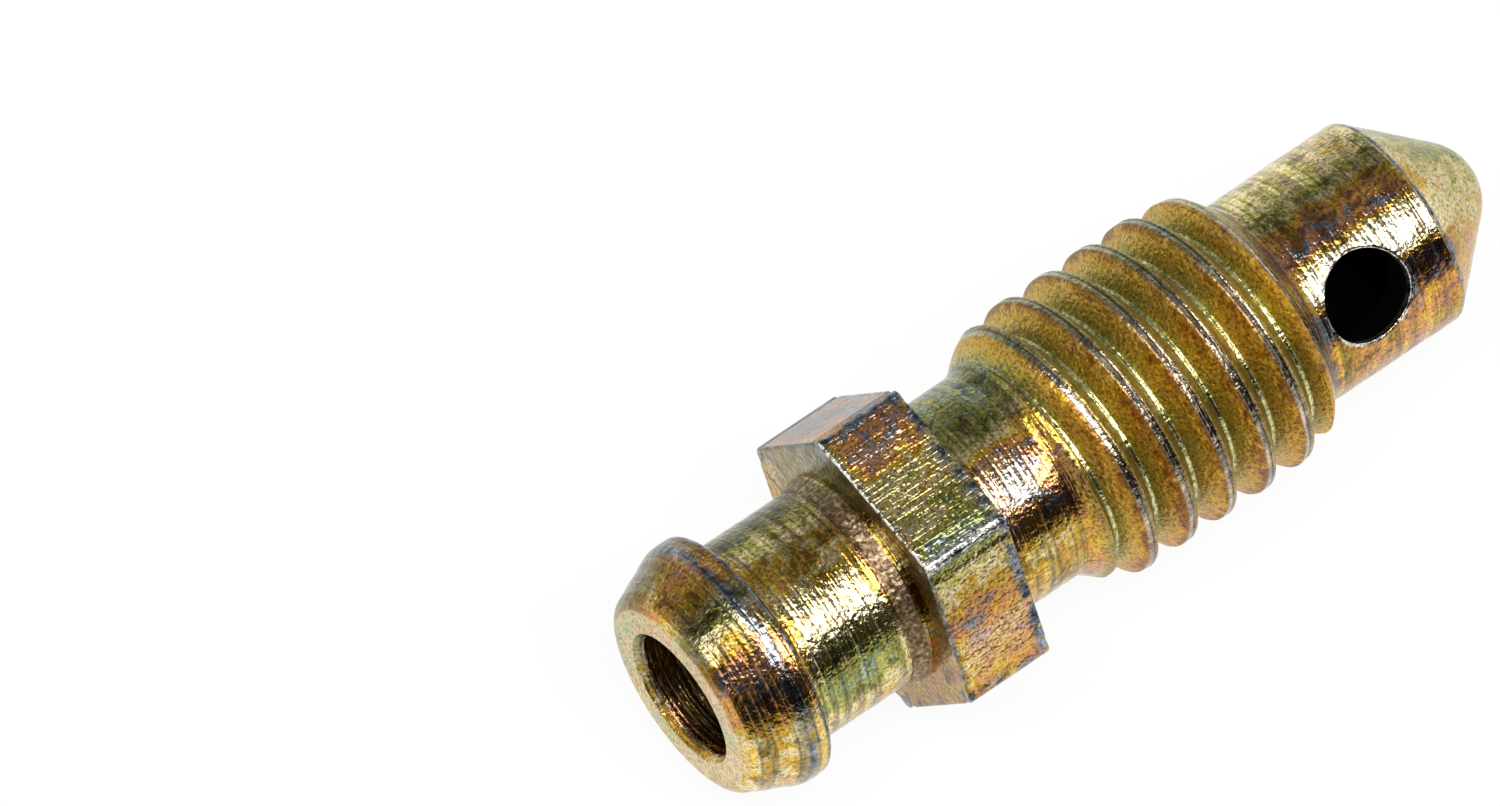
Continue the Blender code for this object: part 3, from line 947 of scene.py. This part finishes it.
def part_masks(place):
    """The parts of the screw that have a finish of their own; the flare's is partly painted shade.
    """
    x, on_flat = place.x, np.abs(place.off_side) < ON_FLAT
    upper = np.abs(place.degrees) < FLAT_HALF_ANGLE
    return {
        "flare": smooth_step(*FLARE_START, x) * (x < HEX_FRONT - FLARE_END),
        "plain": 1.0 * (x > SHOULDER - CONE_START) + (x < PLAIN_END),
        "hexagon": 1.0 * on_flat * (x > HEX_FRONT + FLAT_MARGIN) * (x < HEX_BACK - FLAT_MARGIN),
        "drawn": (UNDRAWN_SHARE + (1 - UNDRAWN_SHARE) * upper) * on_flat,
        "end_face": 1.0 * (x < END_FACE_DEPTH) * (place.r > BORE_RADIUS),
    }


def add_masks(mesh):
    """Point attributes that tell the material what each place of the screw is."""
    place = Place(mesh)
    masks = film_masks(place) | hole_masks(place) | thread_masks(place)
    masks |= edge_masks(place, mesh) | part_masks(place)
    for name, values in masks.items():
        attribute = mesh.attributes.new(name, "FLOAT", "POINT")
        attribute.data.foreach_set("value", values.astype(np.float32))


class Nodes:
    """Short forms for a material's nodes. The same attribute or noise is made only once."""

    def __init__(self, material):
        material.use_nodes = True
        self.tree = material.node_tree
        self.shader = self.tree.nodes.get("Principled BSDF")

    def link(self, value, socket):
        if isinstance(value, bpy.types.NodeSocket):
            self.tree.links.new(value, socket)
        else:
            socket.default_value = value

    def math(self, operation, *values):
        node = self.tree.nodes.new("ShaderNodeMath")
        node.operation = operation
        for socket, value in zip(node.inputs, values):
            self.link(value, socket)
        return node.outputs[0]

    def chain(self, operation, first, *others):
        """The operation over all values, one after the other."""
        for other in others:
            first = self.math(operation, first, other)
        return first

    @cache
    def attribute(self, name):
        node = self.tree.nodes.new("ShaderNodeAttribute")
        node.attribute_name = name
        return node.outputs["Fac"]

    @cache
    def place(self):
        """The place in millimetres."""
        node = self.tree.nodes.new("ShaderNodeTexCoord")
        return self.scaled(node.outputs["Object"], (1 / MM, 1 / MM, 1 / MM))

    def scaled(self, vector, scale):
        node = self.tree.nodes.new("ShaderNodeVectorMath")
        node.operation = "MULTIPLY"
        self.link(vector, node.inputs[0])
        node.inputs[1].default_value = scale
        return node.outputs[0]

    def split(self, vector):
        node = self.tree.nodes.new("ShaderNodeSeparateXYZ")
        self.link(vector, node.inputs[0])
        return node.outputs

    @cache
    def noise(self, scale, detail, distortion=0.0):
        """Noise of that scale, or of three scales along, across and up."""
        vector = self.place()
        if isinstance(scale, tuple):
            vector, scale = self.scaled(vector, scale), 1.0
        node = self.tree.nodes.new("ShaderNodeTexNoise")
        self.link(vector, node.inputs["Vector"])
        node.inputs["Scale"].default_value = scale
        node.inputs["Detail"].default_value = detail
        node.inputs["Distortion"].default_value = distortion
        return node.outputs[0]

    def span(self, value, low, high, to_low=0.0, to_high=1.0):
        node = self.tree.nodes.new("ShaderNodeMapRange")
        for socket, number in zip(node.inputs, (value, low, high, to_low, to_high)):
            self.link(number, socket)
        return node.outputs[0]

    def spread(self, noise, low, high, to_low=0.0, to_high=1.0):
        """A noise, spread from its low and high value to two others."""
        return self.span(self.noise(*noise), low, high, to_low, to_high)

    def mix(self, factor, a, b, blend="MIX"):
        node = self.tree.nodes.new("ShaderNodeMix")
        node.data_type = "RGBA"
        node.blend_type = blend
        for socket, value in zip((node.inputs[0], node.inputs[6], node.inputs[7]), (factor, a, b)):
            self.link(value, socket)
        return node.outputs[2]

    def shaded(self, colour, shade, factor=1.0):
        """The colour multiplied by the shade."""
        return self.mix(factor, colour, shade, "MULTIPLY")

    def covered(self, colour, mask, share, cover):
        """The colour, with another over that share of the mask."""
        return self.mix(self.math("MULTIPLY", mask, share), colour, cover)

    def coated(self, colour, mask):
        """The colour, with the mask's own mottled coat over it."""
        share, mottling, colours = COATS[mask]
        coat = self.ramp(self.spread(*mottling), colours)
        return self.covered(colour, self.attribute(mask), share, coat)

    def ramp(self, value, stops, interpolation="LINEAR"):
        node = self.tree.nodes.new("ShaderNodeValToRGB")
        node.color_ramp.interpolation = interpolation
        elements = node.color_ramp.elements
        while len(elements) < len(stops):
            elements.new(0.5)
        for element, (position, colour) in zip(elements, stops):
            element.position = position
            element.color = (*colour, 1)
        self.link(value, node.inputs[0])
        return node.outputs[0]


def film_colour(n, turned):
    """The film's colour by its thickness, which drifts, and by its tone, which is painted light and
    shade: it shades the colour, or pales it to a painted highlight.
    """
    drift = n.chain(
        "ADD",
        n.math("MULTIPLY", n.spread(*PATCHES), PATCH_DRIFT),
        n.math("MULTIPLY", n.spread(*BLOTS), BLOT_DRIFT),
        n.math("MULTIPLY", n.spread(*SPECKS), SPECK_DRIFT),
        n.math("MULTIPLY", n.spread(*RING_DRIFT), turned),
        n.math("MULTIPLY", n.spread(*STREAK_DRIFT), n.attribute("hexagon")),
    )
    thickness = n.math("ADD", n.attribute("film"), drift)
    colour = n.ramp(n.math("FRACT", n.math("ADD", thickness, 1.0)), FILM_COLOURS)
    # The tone: painted shade where it is under 1, a painted highlight where it is over 1
    tone = n.attribute("tone")
    colour = n.shaded(colour, tone)
    colour = n.mix(n.span(tone, *PAINTED_HIGHLIGHT_TONES, 0.0, PAINTED_HIGHLIGHT_SHARE), colour, PAINTED_HIGHLIGHT_COLOUR)
    # Painted reflections of the turned ridges, as stripes on the turned parts
    colour = n.shaded(colour, n.spread(*PAINTED_RIDGE_SHADES), turned)
    # Random darker patches on the turned parts
    dark_patches = n.math("MAXIMUM", n.spread(*DARK_PATCH_SHADES), n.math("SUBTRACT", 1.0, turned))
    return n.shaded(colour, dark_patches)


def thread_colour(n, colour):
    """The rolled flanks, the pale root line, partly a painted highlight, the grey crest, and
    painted shade in its seam.
    """
    uneven = n.math("ADD", n.spread(*PATCHES), n.spread(*BLOTS))
    rise = n.math("ADD", n.attribute("flank_rise"), n.math("MULTIPLY", uneven, FLANK_DRIFT))
    near = n.ramp(rise, NEAR_FLANK_COLOURS)
    colour = n.covered(colour, n.attribute("near_flank"), NEAR_FLANK_SHARE, near)
    for mask in ("far_flank", "root", "crest"):
        colour = n.coated(colour, mask)
    # Painted shade in the crest's seam
    return n.covered(colour, n.attribute("seam"), SEAM_SHADE_SHARE, SEAM_SHADE_COLOUR)


def edge_colour(n, colour):
    """Grey patina on the edges, and painted glints in spots on the corner, front edge and hole rim.
    """
    patina = n.math("MULTIPLY", n.attribute("edge"), n.spread(*EDGE_PATINA))
    colour = n.mix(patina, colour, n.ramp(n.spread(*EDGE_MOTTLE), EDGE_COLOURS))
    # Painted glints in spots
    glint = n.math("MULTIPLY", n.attribute("bright"), n.spread(*GLINT_SPOTS))
    return n.mix(glint, colour, PAINTED_GLINT_COLOUR)


def surface_colour(n, turned):
    """All colours of the screw, one over the other."""
    colour = edge_colour(n, thread_colour(n, film_colour(n, turned)))
    colour = n.coated(colour, "end_face")
    colour = n.shaded(colour, n.ramp(n.spread(*SPECK_MOTTLE), SPECK_SHADES))
    # Painted shade in the grooves of the turned rings, over up to half of their colour
    colour = n.mix(n.math("MULTIPLY", turned, n.spread(*RING_GROOVE_SHADES)), colour, GROOVE_SHADE_COLOUR)
    # The collar's flare: grainy, and darkened partly as painted shade in the fillet
    colour = n.coated(colour, "flare")
    # The bore's own colour near its mouth and painted shade deeper in, then painted black shade in
    # the cross hole
    along = n.split(n.place())[0]
    depth = n.span(along, *(ROW_START + start for start in BORE_SHADE_DEPTHS))
    colour = n.mix(n.attribute("inside"), colour, n.ramp(depth, BORE_COLOURS_AND_SHADE))
    return n.mix(n.attribute("hole"), colour, HOLE_SHADE_COLOUR)


def surface_roughness(n, coarse):
    """Glossy steel, duller on the coarse flare and flanks, and dull in the bore and the hole."""
    rough = n.math("MAXIMUM", n.spread(*ROUGHNESS), n.math("MULTIPLY", coarse, COARSE_ROUGHNESS))
    dark = n.math("MAXIMUM", n.attribute("inside"), n.attribute("hole"))
    return n.math("MAXIMUM", rough, n.math("MULTIPLY", dark, HOLE_ROUGHNESS))


def surface_normal(n, turned, coarse):
    """Fine relief: rings from turning, lines on the drawn flats, and grain all over."""
    rings = n.math("MULTIPLY", n.math("MULTIPLY", turned, n.noise(*RINGS)), RING_HEIGHT)
    drawn = n.math("MULTIPLY", n.attribute("hexagon"), n.attribute("drawn"))
    lines = n.math("MULTIPLY", n.math("MULTIPLY", drawn, n.noise(*STREAKS)), DRAWN_HEIGHT)
    rise = n.math("MULTIPLY", coarse, COARSE_GRAIN_SHARE)
    height = n.span(rise, 0.0, 1.0, GRAIN_HEIGHT, 2 * GRAIN_HEIGHT)
    grain = n.math("MULTIPLY", n.noise(*GRAIN), height)
    grain = n.math("MULTIPLY", grain, n.span(turned, 0.0, 1.0, 1.0, TURNED_GRAIN_SHARE))
    bump = n.tree.nodes.new("ShaderNodeBump")
    bump.inputs["Strength"].default_value = 1.0
    bump.inputs["Distance"].default_value = MM
    n.link(n.chain("ADD", rings, lines, grain), bump.inputs["Height"])
    return bump.outputs[0]


def plated_steel():
    """Yellow chromate over zinc: a film whose thickness wanders, so that its colour does too."""
    material = bpy.data.materials.new("zinc_plated_steel")
    n = Nodes(material)
    flank = n.math("ADD", n.attribute("near_flank"), n.attribute("far_flank"))
    coarse = n.math("MAXIMUM", n.attribute("flare"), flank)
    others = n.attribute("hexagon"), n.attribute("plain"), flank, n.attribute("crest")
    turned = n.math("SUBTRACT", 1.0, n.chain("MAXIMUM", *others))
    n.link(surface_colour(n, turned), n.shader.inputs["Base Color"])
    n.link(surface_roughness(n, coarse), n.shader.inputs["Roughness"])
    n.link(surface_normal(n, turned, coarse), n.shader.inputs["Normal"])
    n.shader.inputs["Metallic"].default_value = 1.0
    return material


def screw():
    """The dressed screw: its skin with the cross hole cut, its masks and its plating."""
    surface = screw_surface()
    obj = mesh_object("screw_surface", surface.points(), surface.faces)
    cut(obj, cross_hole_cutter())
    add_masks(obj.data)
    obj.data.materials.clear()
    obj.data.materials.append(plated_steel())
    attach(obj, "root")
    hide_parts(NODE)


def softbox():
    """One long softbox over the screw, leaning to the front and turned about its own middle."""
    data = bpy.data.lights.new("softbox", "AREA")
    data.shape = "RECTANGLE"
    data.size, data.size_y = SOFTBOX_SIZE
    data.energy = SOFTBOX_WATTS
    obj = bpy.data.objects.new("softbox", data)
    bpy.context.scene.collection.objects.link(obj)
    lean = math.radians(SOFTBOX_LEAN)
    back = Vector((SOFTBOX_ALONG, -math.sin(lean), math.cos(lean))).normalized()
    turn = math.radians(SOFTBOX_TURN)
    sideways = -math.sin(turn)
    long_side = Vector((math.cos(turn), sideways * math.cos(lean), sideways * math.sin(lean)))
    long_side = (long_side - back * long_side.dot(back)).normalized()
    facing = Matrix((long_side, back.cross(long_side), back)).transposed()
    obj.matrix_world = Matrix.Translation(back * SOFTBOX_DISTANCE) @ facing.to_4x4()
    obj.visible_camera = False


def light_tent():
    """A pale tent round the screw with dark strips along it and soft folds across it.

    The camera doesn't see it, but the steel mirrors its strips as bright and dark bands.
    """
    bpy.ops.mesh.primitive_uv_sphere_add(radius=TENT_RADIUS, segments=64, ring_count=32)
    tent = bpy.context.object
    tent.name = "light_tent"
    tent.visible_camera = False
    tent.visible_shadow = False
    material = bpy.data.materials.new("tent_cloth")
    n = Nodes(material)
    n.tree.nodes.remove(n.shader)
    geometry = n.tree.nodes.new("ShaderNodeNewGeometry")
    x, y, z = n.split(n.scaled(geometry.outputs["Position"], (1 / TENT_RADIUS,) * 3))
    lean = n.math("ARCTAN2", n.math("MULTIPLY", y, -1.0), z)
    shades = [((degrees + 180) / 360, (shade,) * 3) for degrees, shade in TENT_SHADES]
    shade = n.ramp(n.span(lean, -math.pi, math.pi), shades, "EASE")
    fold = n.math("SINE", n.math("MULTIPLY", x, 2 * math.pi * TENT_FOLDS))
    folds = n.span(fold, -1.0, 1.0, 1 - TENT_FOLD_DEPTH, 1 + TENT_FOLD_DEPTH)
    shade = n.shaded(shade, folds)
    end = n.span(n.math("ABSOLUTE", x), *TENT_ENDS)
    shade = n.mix(end, shade, (TENT_END_SHADE,) * 3 + (1,))
    emission = n.tree.nodes.new("ShaderNodeEmission")
    n.link(shade, emission.inputs["Color"])
    n.link(emission.outputs[0], n.tree.nodes["Material Output"].inputs["Surface"])
    tent.data.materials.append(material)


def studio_floor():
    """A floor that is as white in the screw's reflections as to the eye, and keeps its shadow."""
    bpy.ops.mesh.primitive_plane_add(size=2 * FLOOR_REACH)
    floor = bpy.context.object
    floor.name = "floor"
    material = bpy.data.materials.new("floor_white")
    n = Nodes(material)
    n.tree.nodes.remove(n.shader)
    path = n.tree.nodes.new("ShaderNodeLightPath").outputs
    rays = path["Is Camera Ray"], path["Is Glossy Ray"], path["Is Transmission Ray"]
    seen = n.chain("MAXIMUM", *rays)
    paint = n.tree.nodes.new("ShaderNodeBsdfDiffuse")
    paint.inputs["Color"].default_value = (FLOOR_SHADE, FLOOR_SHADE, FLOOR_SHADE, 1)
    glow = n.tree.nodes.new("ShaderNodeEmission")
    mix = n.tree.nodes.new("ShaderNodeMixShader")
    n.link(n.math("MULTIPLY", seen, FLOOR_GLOW_SHARE), mix.inputs[0])
    n.link(paint.outputs[0], mix.inputs[1])
    n.link(glow.outputs[0], mix.inputs[2])
    n.link(mix.outputs[0], n.tree.nodes["Material Output"].inputs["Surface"])
    floor.data.materials.append(material)


def white_world():
    world = bpy.data.worlds.new("white")
    bpy.context.scene.world = world
    world.use_nodes = True
    world.node_tree.nodes["Background"].inputs["Color"].default_value = (1, 1, 1, 1)


bpy.context.scene.view_settings.view_transform = "Standard"
camera()
screw()
softbox()
light_tent()
studio_floor()
white_world()
